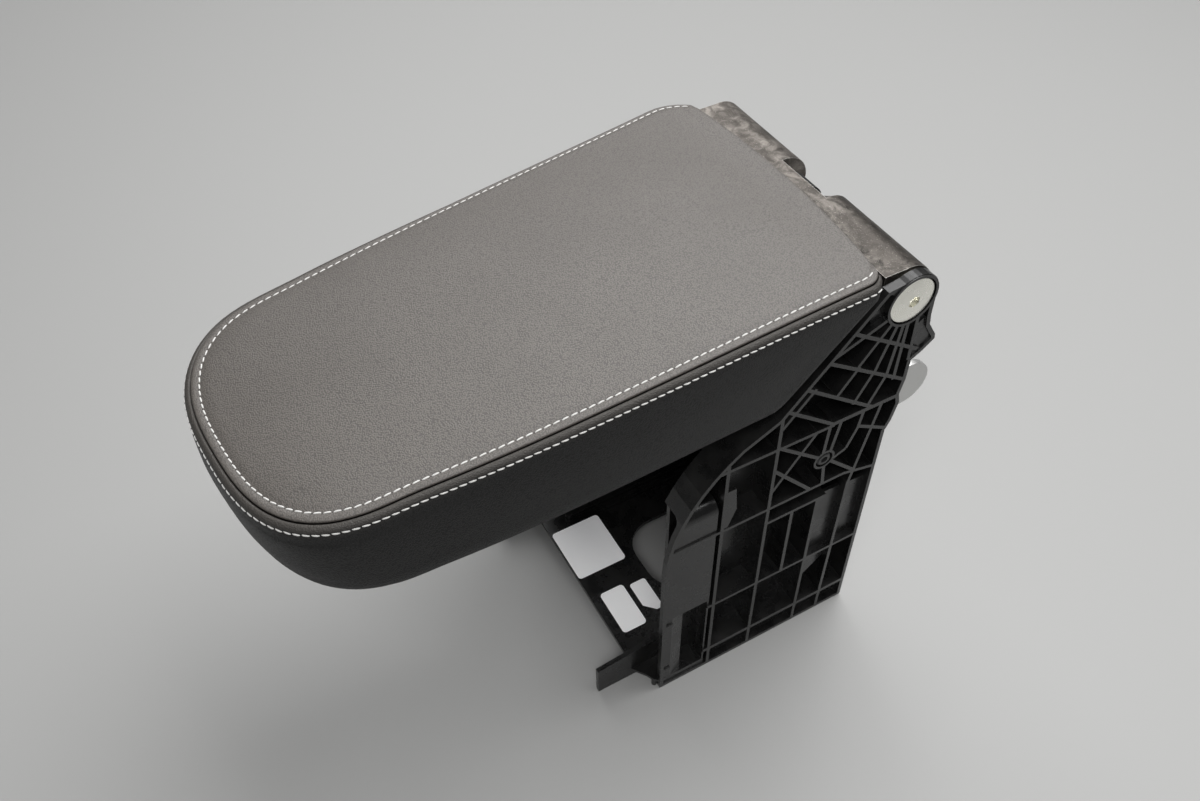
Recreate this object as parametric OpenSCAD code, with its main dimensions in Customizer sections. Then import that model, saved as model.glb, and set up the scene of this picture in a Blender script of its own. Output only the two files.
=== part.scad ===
/* [Bracket] */
// Width over the outer rib edges of the two side walls
bracket_w = 150; // [140:1:170]
// Depth of a side wall, from its inner skin to the rib edges
wall_depth = 15; // [13:0.5:18]
// Thickness of the moulded skins
skin_t = 2.5; // [1.8:0.1:3]
// Thickness of the moulded ribs
rib_t = 1.8; // [1.2:0.1:2.4]
// Front edge of the side walls, from the centre of the fixing holes
wall_front = 68.5; // [64:0.5:74]
// Rear edge of the side walls, from the centre of the fixing holes
wall_rear = 49.5; // [47:0.5:53]
// Height of the floor's upper face
floor_z = 17; // [15:0.5:20]
// Reach of the floor in front of the fixing holes
floor_front = 79; // [75:0.5:84]
// Length of the two toes, in front of the side walls
toe_len = 29; // [20:0.5:34]
// Height of a toe's front end
toe_h = 20.4; // [18:0.2:24]
// Radius of the curved brow where the front edge turns back
brow_r = 84; // [78:1:90]
// Height at which the front edge starts to turn back
brow_z = 106; // [102:0.5:110]
// Top of the smooth bulged front panel
panel_top = 142; // [138:0.5:144]
// Radius of the bulged panel's upper edge
panel_r = 6; // [4:0.5:8]
// Top of the rear wall and its cross beam
beam_z = 196; // [192:0.5:199]

/* [Fixing holes] */
// Distance between the fixing holes, side to side
fix_dx = 96; // [90:1:102]
// Distance between the fixing holes, front to rear
fix_dy = 66; // [60:1:70]
// Diameter of a fixing hole
fix_d = 6.6; // [5.5:0.1:8.4]

/* [Hinge] */
// Hinge axis behind the centre of the fixing holes
hinge_y = 45; // [43:0.5:47]
// Height of the hinge axis
hinge_z = 224; // [220:0.5:228]
// Diameter of the axle
axle_d = 11; // [9:0.5:12]
// Outer diameter of the casting's barrel
barrel_d = 27; // [25:0.5:28]
// Diameter of a hinge bolt's head
bolt_head_d = 22.5; // [20:0.1:23.5]
// Diameter of a hinge bolt's shank
bolt_d = 8; // [6:0.5:8]
// Half width of the notch in the barrel
notch_half = 16; // [14:0.5:20]
// Width of the friction hub on the axle
hub_w = 12; // [9:0.5:13]
// Outer diameter of the friction hub
hub_d = 18.2; // [16:0.2:19]
// Outer diameter of the bushes in the barrel
bush_d = 16; // [14:0.2:18]

/* [Pad] */
// Half width of the pad at its rear, along the upper seam
pad_half = 72.3; // [70:0.1:74]
// Narrowing of each side from rear to front
pad_taper = 13.6; // [8:0.2:16]
// Outward bow of each side
pad_bow = 15; // [6:0.5:18]
// Length of the pad's sides, from the rear edge to the nose
pad_side_len = 218; // [200:1:230]
// Length of the rounded nose
nose_len = 32.5; // [26:0.5:38]
// Height of the pad's top seam above the hinge axis
pad_rise = 23.3; // [21:0.1:26]
// Forward slope of the pad's top, in degrees
pad_slope = 6.2; // [4:0.1:7]
// Depth of the pad's underside below the hinge axis
pad_drop = 36.5; // [35:0.1:37]
// Slope of the pad's underside, in degrees
under_slope = 1.7; // [0.5:0.1:2]
// Height of the pad's crown
crown = 5; // [2:0.5:8]
// Thickness of the leather
leather_t = 1.3; // [1:0.1:1.6]

/* [Hidden] */
$fn = 64;

// Running clearance of round fits, and the gap between parts that only pass
fit = 0.05;
gap = 0.3;

// Side walls: faces across the width
outer_x = bracket_w / 2;
inner_x = outer_x - wall_depth;
web_x = inner_x + skin_t;
hinge_plate_t = 1.7;
plate_x = outer_x - 4.2;
seat_x = plate_x + hinge_plate_t;
rim_t = 2;

// Side walls: columns and rows of the rib field
panel_rear = -wall_front + 27;
col_a = -wall_front + 29.5;
col_b = col_a + 25.5;
col_m = col_b + 15;
col_c = col_b + 29.8;
col_d = col_c + 16;
row_1 = 59;
row_2 = 121;
row_2b = row_2 - 11.5;
row_3 = 164;
floor_t = 2.5;

// Side walls: places on the outline, some of them set from the hinge axis
hinge = [hinge_y, hinge_z];
barrel_r = barrel_d / 2;
axle_r = axle_d / 2;
brow_c = [-wall_front + brow_r, brow_z];
brow_turn = 55;
knee = hinge + [-60, -40.5];
boss_r = barrel_r - 0.3;
boss_corner = hinge + [-14.5, 10.6];
blind_r = 9;
blind_top = -13.1;
cradle_r = barrel_r + 0.8;
cradle_wall = 2;
lug = [[13.5, -14], [14.5, -20], [19.5, -28], [20, -31], [14, -36], [9, -39], [9, -51],
       [7.5, -60], [9, -66], [7, -77]];
ring_gap = 0.45;
ring_wall = 1.2;
ring_r = bolt_head_d / 2 + ring_gap;
ring_x = outer_x + 0.6;
screw_at = [15, 140];
screw_boss_r = 5.8;
side_screw_r = 2;
side_screw_len = 0.8 * wall_depth;

// Front of a side wall: panel, open bay behind it and the inner skin's edge
panel_x = outer_x - 0.8;
panel_t = 2.2;
web_front = -wall_front + 9;
web_turn = 8;
toe_rise = 3.6;

// Rubber stops
stop_x = inner_x - 6;
stop_r = 4;
stop_at = hinge + [-68, -43];

// Duct opening and labels on the floor
duct_at = [-11, -43];
duct_size = [48, 54];
duct_r = 18;
label_t = 0.3;
label_1 = [0.2287 * bracket_w, 0.375 * floor_front];
label_2 = [0.1813 * bracket_w, 0.18 * floor_front];
label_3 = [0.1367 * bracket_w, 0.1215 * floor_front];

// Rear wall and stay
rear_wall_y = wall_rear - 11.5;
stay_y = hinge_y + 9.3;
stay_t = 3;
stay_z = 161;
stay_dx = 60;
ear_r = 12.6;
ear_x = outer_x - 5;
ear_y = hinge_y + 16;
stay_screw_r = 3;
stay_screw_len = stay_y + stay_t - rear_wall_y - 3.3;

// Hinge bolts: the right one has a wide head in its ring, the left one a small head
bolt_len = 18;
head_h = 2.6;
dome_h = 1;
blind_head_r = 6.5;
hub_x0 = -notch_half + 5.7;

// Casting, seen from the side with the hinge axis at the origin
roof_front = -12.5;
roof_t = 3;
roof_top = barrel_r - 0.1;
barrel_end = plate_x - 1.3;
arm_in = 17;
arm_out = 34;
arm_top = 21.7;
arm_h = 8.7;
arm_rear = -58;

// Pad
seam_drop = 4.2;
side_front = -18 - pad_side_len;
arm_front = side_front + 71;
nose_pow = 2.2;
rear_edge = -19;
rear_bow = 4;
slant_at = [-59.5, -35];
slant_run = 0.862;
carrier_t = 3;
carrier_top = arm_top + carrier_t;
cover_screw_r = 1.5;
cover_screw_len = 12;
cover_screw_at = [[pad_half - 24.3, arm_rear - 27], [pad_half - 32.3, side_front + 21]];
casting_screw_r = 3;
casting_screw_at = [for (y = [arm_rear - 18, arm_front + 17]) [(arm_in + arm_out) / 2, y]];
side_steps = 14;
nose_steps = 11;
rear_steps = 6;

// Points along an arc
function arc_points(c, r, a0, a1, n) =
    [for (i = [0:n]) let (a = a0 + (a1 - a0) * i / n) c + r * [cos(a), sin(a)]];

// A closed outline moved inwards by t
function unit(v) = v / norm(v);
function inward(p, q) = let (d = unit(q - p)) [d[1], -d[0]];
function inset(pts, t) = let (n = len(pts)) [
    for (i = [0:n - 1])
        let (a = inward(pts[(i + n - 1) % n], pts[i]), b = inward(pts[i], pts[(i + 1) % n]))
            pts[i] + t * (a + b) / (1 + a * b)];

// Outline of a side wall, in Y and Z
wall_points = concat(
    [[-wall_front, 0]],
    arc_points(brow_c, brow_r, 180, 180 - brow_turn, 9),
    [knee, boss_corner],
    arc_points(hinge, boss_r, 118, -8, 14),
    [for (p = lug) hinge + p],
    [[wall_rear, hinge_z - 83], [wall_rear, 0]]);

// Extrudes a side view, drawn in Y and Z, from x0 to x1
module side_extrude(x0, x1) {
    translate([x0, 0, 0])
        rotate([90, 0, 90])
            linear_extrude(x1 - x0)
                children();
}

// A straight rib between two points of the side view
module strip(a, b, t = rib_t) {
    d = b - a;
    translate(a)
        rotate(atan2(d[1], d[0]))
            translate([0, -t / 2])
                square([norm(d), t]);
}

// A round bar along X
module x_bar(r, x0, x1) {
    translate([x0, 0, 0])
        rotate([0, 90, 0])
            cylinder(r = r, h = x1 - x0);
}

module at_hinge() {
    translate([0, hinge_y, hinge_z])
        children();
}

module both_sides() {
    children();
    mirror([1, 0, 0])
        children();
}

// Rib field: the lower grid, the braced bay and the fan under the hinge
module lower_ribs() {
    strip([-wall_front, floor_z - floor_t / 2], [wall_rear, floor_z - floor_t / 2], floor_t);
    for (y = [col_a, col_b])
        strip([y, 0], [y, hinge_z]);
    strip([col_m, row_1], [col_m, row_2b]);
    strip([col_c, 0], [col_c, row_2b]);
    strip([col_d, 0], [col_d + 1.5, row_2 - 9]);
    strip([col_d + 1.5, row_2 - 10], hinge + [-2, -60]);
    strip([-wall_front, row_1], [wall_rear, row_1]);
    strip([-wall_front, row_2], [30, row_2]);
    strip([29.5, row_2], [wall_rear + 1, row_2 - 6]);
    strip([col_b, row_2b], [col_c + 5, row_2b]);
    strip([-wall_front, row_3 + 1], [17, row_3 - 1]);
    strip([col_a, row_3 + 12], [col_a + 10, row_3 + 12]);
}

module bay_ribs() {
    strip([col_b, row_3 + 1], screw_at);
    strip([col_b, row_2 + 28], [10, row_2]);
    strip([col_b, row_2 + 12], [8, row_3]);
    strip([col_b, row_3 + 12], hinge + [-43, -30]);
    strip(screw_at, [17, row_2]);
    strip(screw_at + [4, -3], [36.5, row_2 - 2]);
    strip(screw_at + [-1.5, 3], [14.5, row_3]);
    strip(screw_at + [2.5, 3], [20.5, row_3]);
    strip([33, 165], [31.5, 153]);
    strip([31.5, 153], [27, 141]);
    strip([27, 141], screw_at + [3, -3]);
    strip([31.5, 154], [50.5, 142]);
}

module fan_ribs() {
    strip(hinge + [-33, -2], hinge + [11, -33]);
    strip(hinge + [-43, -14], hinge + [10, -52]);
    strip(hinge + [-53, -24], hinge + [-8, -60]);
    strip(hinge + [-60, -34], hinge + [-29, -60]);
    strip(hinge + [-29, -60], hinge + [9, -60.5], 2.4);
    strip(hinge + [-9, -5], hinge + [-40, -17]);
    strip(hinge + [-8, -9], hinge + [-22, -28]);
    strip(hinge + [-5, -12], hinge + [-12, -37]);
    strip(hinge + [-1.5, -13], hinge + [-4, -43]);
    strip(hinge + [1, -13], hinge + [1, -47]);
    strip(hinge + [6, -12], hinge + [7, -37.5]);
    strip(hinge + [-21, -28], hinge + [-31, -42]);
    strip(hinge + [-12, -36], hinge + [-20, -52]);
    strip(hinge + [-4, -42], hinge + [-11, -58]);
}

module rib_field() {
    intersection() {
        polygon(wall_points);
        union() {
            difference() {
                polygon(wall_points);
                polygon(inset(wall_points, rim_t));
            }
            lower_ribs();
            bay_ribs();
            fan_ribs();
            translate(screw_at)
                circle(screw_boss_r);
        }
    }
}

// Room for the barrel's end, and for its roof as it turns
module hinge_room() {
    translate(hinge)
        circle(cradle_r);
    translate(hinge + [-14.7, -4])
        square([60, 60]);
}

// Inner skin's front edge: set back behind the panel, swept forward into the toe
module skin_cutback() {
    sweep = [web_front - web_turn, toe_h + toe_rise + web_turn];
    polygon(concat(
        [[-wall_front - toe_len - 1, toe_h], [-wall_front - toe_len, toe_h],
         [sweep[0], toe_h + toe_rise]],
        arc_points(sweep, web_turn, -90, 0, 5),
        [[web_front, panel_top - 1], [-wall_front - toe_len - 1, panel_top - 1]]));
}

// Smooth front panel: section across the wall, rounded at its upper edge
module panel_section(x1, top, r) {
    difference() {
        translate([inner_x, 0])
            square([x1 - inner_x, top]);
        translate([x1 - r, top - r])
            difference() {
                square(r + 1);
                circle(r);
            }
    }
}

module panel_block(x1, top, r, y0, y1) {
    translate([0, y1, 0])
        rotate([90, 0, 0])
            linear_extrude(y1 - y0)
                panel_section(x1, top, r);
}

module front_panel() {
    intersection() {
        panel_block(panel_x, panel_top, panel_r, -wall_front - 2, panel_rear);
        side_extrude(inner_x - 1, outer_x + 1)
            polygon(wall_points);
    }
    // ledges that carry on the two lower rows of ribs
    for (z = [row_1, row_2])
        translate([outer_x - 2, -wall_front + 2.5, z])
            cube([1.9, panel_rear + wall_front - 3, 1.2]);
}

// Lowest bay of the panel: a hollow that deepens towards the rear
module panel_hollow() {
    linear_extrude(row_1 - 1.5)
        polygon([[outer_x + 1, -wall_front + 6], [panel_x, -wall_front + 6],
                 [panel_x - 6, panel_rear - 1], [outer_x + 1, panel_rear - 1]]);
}

// Toe, with the low ledge and peg that tie it to the front corner
module toe() {
    side_extrude(inner_x - 1.5, inner_x + 1)
        difference() {
            translate([-wall_front - toe_len, 0])
                square([toe_len + 14, toe_h + toe_rise + web_turn]);
            skin_cutback();
        }
    translate([0, -wall_front, 5])
        linear_extrude(1.6)
            polygon([[inner_x + 0.8, -9.5], [inner_x + 4, -7], [inner_x + 8, -4], [inner_x + 12, -2],
                     [outer_x - 0.5, 0.5], [outer_x - 1, 8], [inner_x + 0.8, 8]]);
    translate([inner_x + 11, -wall_front - 1, 0])
        cylinder(r = 1.5, h = 5.5);
}

// Thin triangular web between the first column of ribs and the panel's row
module corner_web() {
    side_extrude(outer_x - 2.2, outer_x - 0.3)
        polygon([[col_a, row_2], [col_a + 3, row_2 + 1], [col_a + 7, row_2 + 13],
                 [col_a + 5.6, row_2 + 28], [col_a, row_2 + 28]]);
}

// Raised floors of the bays behind the third column
module bay_floors() {
    side_extrude(outer_x - 5.6, outer_x - 3.8)
        intersection() {
            polygon(wall_points);
            union() {
                polygon([[col_c, row_1], [wall_rear - 1, row_1], [wall_rear - 1, row_2 - 17],
                         [col_c, row_2 - 14]]);
                polygon([[col_c, row_1 - 27], [col_d + 1, row_1 - 11], [col_d + 1, row_1 + 1],
                         [col_c, row_1 + 1]]);
            }
        }
}

// One side wall; the right one has a ring round its bolt, the left one a blind end
module side_wall(ringed) {
    difference() {
        union() {
            side_extrude(inner_x, web_x)
                difference() {
                    polygon(wall_points);
                    skin_cutback();
                }
            side_extrude(inner_x + 0.5, outer_x)
                rib_field();
            side_extrude(inner_x + 0.5, plate_x + 0.1)
                intersection() {
                    polygon(wall_points);
                    translate(hinge)
                        circle(cradle_r + cradle_wall);
                }
            if (!ringed)
                side_extrude(inner_x + 0.5, outer_x)
                    intersection() {
                        polygon(wall_points);
                        translate(hinge + [-45, blind_top - 1.4])
                            square([70, 1.8]);
                    }
            front_panel();
            corner_web();
            bay_floors();
            // skirt under the floor
            translate([web_x - 0.5, web_front + 1, 0])
                cube([9, wall_rear - web_front - 2, floor_z - 1]);
            stop_seat();
        }
        // open bay behind the panel
        difference() {
            panel_block(panel_x - panel_t, panel_top - 1, panel_r - panel_t,
                        -wall_front - 3, panel_rear - panel_t);
            translate([inner_x - 1, web_front, -1])
                cube([skin_t + 1, wall_front, hinge_z]);
            translate([inner_x + 1, -wall_front - 4, -1])
                cube([wall_depth + 2, wall_front, 6]);
        }
        translate([0, 0, 6.5])
            panel_hollow();
        side_extrude(inner_x - 1, plate_x)
            hinge_room();
        if (ringed)
            at_hinge()
                x_bar(ring_r + 0.5, plate_x - 0.1, outer_x + 1);
        else
            side_extrude(inner_x - 1, outer_x + 1)
                translate(hinge + [-45, blind_top])
                    square([80, 50]);
        // driven screw in the braced bay
        translate([0, screw_at[0], screw_at[1]]) {
            x_bar(side_screw_r + fit, inner_x - 1, outer_x + 1);
            x_bar(screw_boss_r - 1.2, outer_x - 2.6, outer_x + 1);
        }
    }
    toe();
    if (ringed)
        hinge_plate();
    else
        blind_plate();
}

// Plain plate of the left wall, hidden behind the casting's end
module blind_plate() {
    difference() {
        side_extrude(plate_x, seat_x)
            intersection() {
                polygon(wall_points);
                translate(hinge)
                    union() {
                        circle(blind_r);
                        polygon([[-blind_r, 0], [blind_r, 0], [13, -12], [13, -22], [-26, -22],
                                 [-15, -12]]);
                    }
            }
        at_hinge()
            x_bar(bolt_d / 2 + fit, plate_x - 1, seat_x + 1);
    }
}

// Thin plate that carries the bolt head in its ring
module hinge_plate() {
    difference() {
        union() {
            side_extrude(plate_x, seat_x)
                intersection() {
                    polygon(wall_points);
                    translate(hinge)
                        circle(boss_r + 6);
                }
            side_extrude(seat_x - 0.2, outer_x - 1)
                intersection() {
                    polygon([for (p = [[7, -18], [13.5, -14], [14.5, -20], [19.5, -28], [20, -31],
                                       [14, -36], [7, -36]]) hinge + p]);
                    polygon(wall_points);
                }
            at_hinge()
                rotate([142, 0, 0])
                    translate([seat_x - 0.2, ring_r + 0.6, -rib_t / 2])
                        cube([outer_x - seat_x + 0.1, 4.2, rib_t]);
            at_hinge()
                x_bar(ring_r + ring_wall, seat_x - 0.2, ring_x);
        }
        at_hinge() {
            x_bar(ring_r, seat_x, ring_x + 1);
            x_bar(bolt_d / 2 + fit, plate_x - 1, seat_x + 1);
        }
        side_extrude(seat_x - 1, outer_x + 1)
            translate(hinge + [13, -35])
                square([3.5, 3]);
    }
}

// Seat of a rubber stop: a post on the inner skin, tapered off below
module stop_seat() {
    r = stop_r + 1.5;
    h = 24;
    translate([stop_x, stop_at[0], stop_at[1] - 6])
        cylinder(r = r, h = 6);
    translate([0, stop_at[0] + r, 0])
        rotate([90, 0, 0])
            linear_extrude(2 * r)
                polygon([[inner_x + 0.5, stop_at[1] - h], [inner_x + 0.5, stop_at[1]],
                         [stop_x, stop_at[1]], [stop_x, stop_at[1] - 6]]);
}

module floor_plate() {
    difference() {
        translate([-inner_x - 0.5, -floor_front, floor_z - floor_t])
            cube([2 * inner_x + 1, floor_front + rear_wall_y + 1, floor_t]);
        // rounded opening for the duct
        translate([duct_at[0], duct_at[1], floor_z - floor_t - 1])
            rounded_plate(duct_size, duct_r, floor_t + 2);
    }
    // two low rails beside the opening
    for (x = [-35, -29.8])
        translate([x - 0.7, -floor_front + (x < -32 ? 16 : 33), floor_z - 0.5])
            cube([1.4, x < -32 ? 80 : 63, 3.5]);
    translate([-35, -floor_front + 15, floor_z - 0.5])
        cylinder(r = 2, h = 5);
}

// A plate with rounded corners, from its lower left corner
module rounded_plate(size, r, h) {
    linear_extrude(h) {
        translate([r, 0])
            square([size[0] - 2 * r, size[1]]);
        translate([0, r])
            square([size[0], size[1] - 2 * r]);
        for (x = [r, size[0] - r], y = [r, size[1] - r])
            translate([x, y])
                circle(r);
    }
}

// Rear wall with its outer ribs, cross beam and the two pillars of the stay
module rear_wall() {
    difference() {
        union() {
            translate([-inner_x - 0.5, rear_wall_y, 0])
                cube([2 * inner_x + 1, skin_t, beam_z]);
            translate([-inner_x - 0.5, rear_wall_y - 5, beam_z - skin_t])
                cube([2 * inner_x + 1, wall_rear - rear_wall_y + 5, skin_t]);
            for (x = [-stay_dx / 2, 0, stay_dx / 2])
                translate([x - rib_t / 2, rear_wall_y + 1, 0])
                    cube([rib_t, wall_rear - rear_wall_y - 2.5, beam_z - 1]);
            for (z = [floor_z - rib_t, row_1, row_2])
                translate([-inner_x - 0.5, rear_wall_y + 1, z - rib_t / 2])
                    cube([2 * inner_x + 1, wall_rear - rear_wall_y - 2.5, rib_t]);
            for (x = [-stay_dx / 2, stay_dx / 2])
                translate([x, rear_wall_y + 1, stay_z])
                    rotate([-90, 0, 0])
                        cylinder(r = 6, h = stay_y - rear_wall_y - 1);
        }
        for (x = [-stay_dx / 2, stay_dx / 2])
            translate([x, rear_wall_y - 1, stay_z])
                rotate([-90, 0, 0])
                    cylinder(r = stay_screw_r + fit, h = 40);
    }
}

module bracket_frame() {
    color([0.09, 0.09, 0.095])
        difference() {
            union() {
                side_wall(true);
                mirror([1, 0, 0])
                    side_wall(false);
                floor_plate();
                rear_wall();
                for (x = [-fix_dx / 2, fix_dx / 2], y = [-fix_dy / 2, fix_dy / 2])
                    translate([x, y, 0])
                        cylinder(r = fix_d / 2 + 3.2, h = floor_z - 0.5);
            }
            for (x = [-fix_dx / 2, fix_dx / 2], y = [-fix_dy / 2, fix_dy / 2])
                translate([x, y, -1])
                    cylinder(r = fix_d / 2, h = floor_z + 2);
        }
}

module hinge_axle() {
    color([0.35, 0.35, 0.36])
        at_hinge()
            difference() {
                x_bar(axle_r, -plate_x, plate_x);
                both_sides()
                    x_bar(bolt_d / 2 + fit, plate_x - bolt_len, plate_x + 1);
            }
}

// Domed bolt head with a hexagon socket
module hinge_bolt(r) {
    difference() {
        union() {
            x_bar(bolt_d / 2, plate_x - bolt_len + 2, seat_x + 0.5);
            rotate([90, 0, 90])
                rotate_extrude()
                    polygon(concat(
                        [[0, seat_x]],
                        [[r - 0.5, seat_x], [r, seat_x + 0.5], [r, seat_x + head_h - 0.6]],
                        arc_points([r - 0.6, seat_x + head_h - 0.6], 0.6, 30, 90, 3),
                        [[r * 0.62, seat_x + head_h + dome_h * 0.55],
                         [r * 0.3, seat_x + head_h + dome_h * 0.9],
                         [0, seat_x + head_h + dome_h]]));
        }
        translate([seat_x + head_h + dome_h - 3, 0, 0])
            rotate([0, 90, 0])
                cylinder(r = 2.9, h = 5, $fn = 6);
    }
}

module hinge_bolts() {
    color([0.75, 0.75, 0.74])
        at_hinge() {
            hinge_bolt(bolt_head_d / 2);
            mirror([1, 0, 0])
                hinge_bolt(blind_head_r);
        }
}

module thrust_washers() {
    color([0.8, 0.78, 0.7])
        at_hinge()
            both_sides()
                difference() {
                    x_bar(barrel_r - 3, barrel_end + 0.1, plate_x - 0.1);
                    x_bar(axle_r + fit, barrel_end - 1, plate_x + 1);
                }
}

module friction_hub() {
    color([0.05, 0.05, 0.055])
        at_hinge()
            difference() {
                union() {
                    x_bar(hub_d / 2, hub_x0, hub_x0 + hub_w);
                    x_bar(hub_d / 2 - 1.6, -notch_half + gap, notch_half - gap);
                }
                x_bar(axle_r + fit, -notch_half - 1, notch_half + 1);
            }
}

module stop_buffers() {
    color([0.06, 0.06, 0.06])
        both_sides()
            translate([stop_x, stop_at[0], stop_at[1]])
                cylinder(r1 = stop_r, r2 = stop_r - 0.6,
                         h = hinge_z + z_under(stop_at[0] - hinge_y) - 1.5 - gap - stop_at[1]);
}

// Steel stay: a strap across the rear with two ears turned back
module rear_stay() {
    color([0.72, 0.72, 0.72])
        difference() {
            union() {
                translate([-ear_x, stay_y, stay_z - ear_r])
                    cube([2 * ear_x, stay_t, 2 * ear_r]);
                both_sides()
                    side_extrude(ear_x - stay_t, ear_x) {
                        translate([stay_y, stay_z - ear_r])
                            square([ear_y - stay_y, 2 * ear_r]);
                        intersection() {
                            translate([ear_y, stay_z])
                                circle(ear_r);
                            translate([stay_y, stay_z - ear_r])
                                square(2 * ear_r);
                        }
                    }
            }
            for (x = [-stay_dx / 2, stay_dx / 2])
                translate([x, stay_y - 1, stay_z])
                    rotate([-90, 0, 0])
                        cylinder(r = stay_screw_r + 0.2, h = stay_t + 2);
        }
}

// Pan-head screw standing on z = 0, its shank going down
module pan_screw(r, len, head_r, head_h, drive) {
    difference() {
        union() {
            translate([0, 0, -len])
                cylinder(r = r, h = len + 0.5);
            cylinder(r = head_r, h = head_h * 0.6);
            translate([0, 0, head_h * 0.6])
                cylinder(r1 = head_r, r2 = head_r * 0.72, h = head_h * 0.4);
        }
        translate([0, 0, head_h * 0.35])
            cylinder(r = drive, h = head_h, $fn = 6);
    }
}

module stay_screws() {
    color([0.6, 0.6, 0.6])
        for (x = [-stay_dx / 2, stay_dx / 2])
            translate([x, stay_y + stay_t, stay_z])
                rotate([-90, 0, 0])
                    pan_screw(stay_screw_r, stay_screw_len, 5.5, 3.6, 2.3);
}

module side_screws() {
    color([0.1, 0.1, 0.1])
        both_sides()
            translate([outer_x - 2.6, screw_at[0], screw_at[1]])
                rotate([0, 90, 0])
                    pan_screw(side_screw_r, side_screw_len, screw_boss_r - 1.5, 2.6, 2);
}

module label_large() {
    color([0.93, 0.93, 0.92])
        translate([-29.3, -floor_front + 0.6, floor_z])
            rounded_plate(label_1, 2, label_t);
}

module label_medium() {
    color([0.93, 0.93, 0.92])
        translate([19, -floor_front + 5.4, floor_z])
            rounded_plate(label_2, 2, label_t);
}

module label_small() {
    color([0.93, 0.93, 0.92])
        translate([21.5, -floor_front + 22.7, floor_z])
            difference() {
                rounded_plate(label_3, 1.5, label_t);
                translate([label_3[0], 0, -1])
                    rotate([0, 0, 45])
                        cube([8, 8, 6], center = true);
            }
}

// Underside and top of the pad above the hinge axis, at a distance y behind it
function z_under(y) = -pad_drop + tan(under_slope) * y;
function z_upper(y) = pad_rise + tan(pad_slope) * y;

// Height at level t between underside and top, plus s
function z_level(y, t, s) = t * z_upper(y) + (1 - t) * z_under(y) + s;

// Rear end of a level: on the slant that clears the bracket, or at the rear edge
function rear_end(t, s) =
    let (base = t * pad_rise - (1 - t) * pad_drop + s,
         rise = t * tan(pad_slope) + (1 - t) * tan(under_slope))
        min(rear_edge, (slant_at[0] + (base - slant_at[1]) * slant_run) / (1 - rise * slant_run));

// Half width at y, moved out by d and flared by f towards the front
function half_width(y, d, f) =
    let (u = (rear_edge - y) / pad_side_len)
        pad_half + d - (pad_taper - f) * u + pad_bow * u * u * (1 - u);

function side_point(i, d, f, yr) =
    let (y = yr + (side_front - yr) * i / side_steps) [half_width(y, d, f), y];

function nose_point(i, d, f) =
    let (a = 90 * i / nose_steps, p = 2 / nose_pow)
        [half_width(side_front, d, f) * pow(cos(a), p),
         side_front - (nose_len + d) * pow(sin(a), p)];

// Open path round the pad: right side, nose, left side
function open_path(d, f, yr) =
    let (right = concat([for (i = [0:side_steps]) side_point(i, d, f, yr)],
                        [for (i = [1:nose_steps - 1]) nose_point(i, d, f)]),
         n = len(right))
        concat(right, [[0, side_front - nose_len - d]],
               [for (i = [n - 1:-1:0]) [-right[i][0], right[i][1]]]);

// Closed path: the open one with a bowed rear edge
function closed_path(d, f, yr, bow) =
    let (w = half_width(yr, d, f))
        concat(open_path(d, f, yr),
               [for (i = [1:rear_steps - 1])
                   let (x = -w + 2 * w * i / rear_steps) [x, yr + bow * (1 - pow(x / w, 2))]]);

// One ring of a layer: v = [t, s, d, f], with the rear end moved by dy
function level_ring(v, dy = 0, bow = 0) =
    [for (p = closed_path(v[2], v[3], rear_end(v[0], v[1]) + dy, bow))
        [p[0], p[1], z_level(p[1], v[0], v[1])]];

// Crown rings shrink towards the middle of the pad
crown_steps = [0.985, 0.95, 0.88, 0.76, 0.58, 0.36, 0.15];
function crown_ring(k, drop, d, dy, bow) =
    let (mid = (rear_edge + side_front - nose_len) / 2)
        [for (p = closed_path(d, 0, rear_edge + dy, bow))
            let (x = p[0] * k, y = mid + (p[1] - mid) * k)
                [x, y, z_upper(y) + crown * (1 - pow(k, 2.6)) - drop]];
function crown_top(drop) =
    let (y = (rear_edge + side_front - nose_len) / 2) [0, y, z_upper(y) + crown - drop];

// Faces between rings of n points; the first ring starts at point `base`
function ring_faces(n, m, base) = concat(
    [for (j = [0:m - 2]) for (i = [0:n - 1])
        let (a = base + j * n + i, b = base + j * n + (i + 1) % n) [a, b, a + n]],
    [for (j = [0:m - 2]) for (i = [0:n - 1])
        let (a = base + j * n + i, b = base + j * n + (i + 1) % n) [b, b + n, a + n]]);

// Closed skin over rings of equal length, with a point at each end
module loft(rings, first, last) {
    n = len(rings[0]);
    m = len(rings);
    points = concat([first], [for (r = rings) for (p = r) p], [last]);
    polyhedron(points, concat(
        [for (i = [0:n - 1]) [0, 1 + (i + 1) % n, 1 + i]],
        ring_faces(n, m, 1),
        [for (i = [0:n - 1])
            [1 + m * n, 1 + (m - 1) * n + i, 1 + (m - 1) * n + (i + 1) % n]]));
}

// Bent sheet: each ring runs along its outer face and back along the inner one
module sheet_loft(rings) {
    n = len(rings[0]);
    m = len(rings);
    points = [for (r = rings) for (p = r) p];
    polyhedron(points, concat(
        [for (k = [0:n / 2 - 2]) [k + 1, k, n - 1 - k]],
        [for (k = [0:n / 2 - 2]) [k + 1, n - 1 - k, n - 2 - k]],
        ring_faces(n, m, 0),
        [for (k = [0:n / 2 - 2]) let (e = (m - 1) * n) [e + k, e + k + 1, e + n - 1 - k]],
        [for (k = [0:n / 2 - 2]) let (e = (m - 1) * n) [e + k + 1, e + n - 2 - k, e + n - 1 - k]]));
}

function middle(ring) = [for (k = [0:2]) let (c = [for (p = ring) p[k]]) total(c) / len(c)];
function total(v, i = 0) = i == len(v) ? 0 : v[i] + total(v, i + 1);

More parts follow.
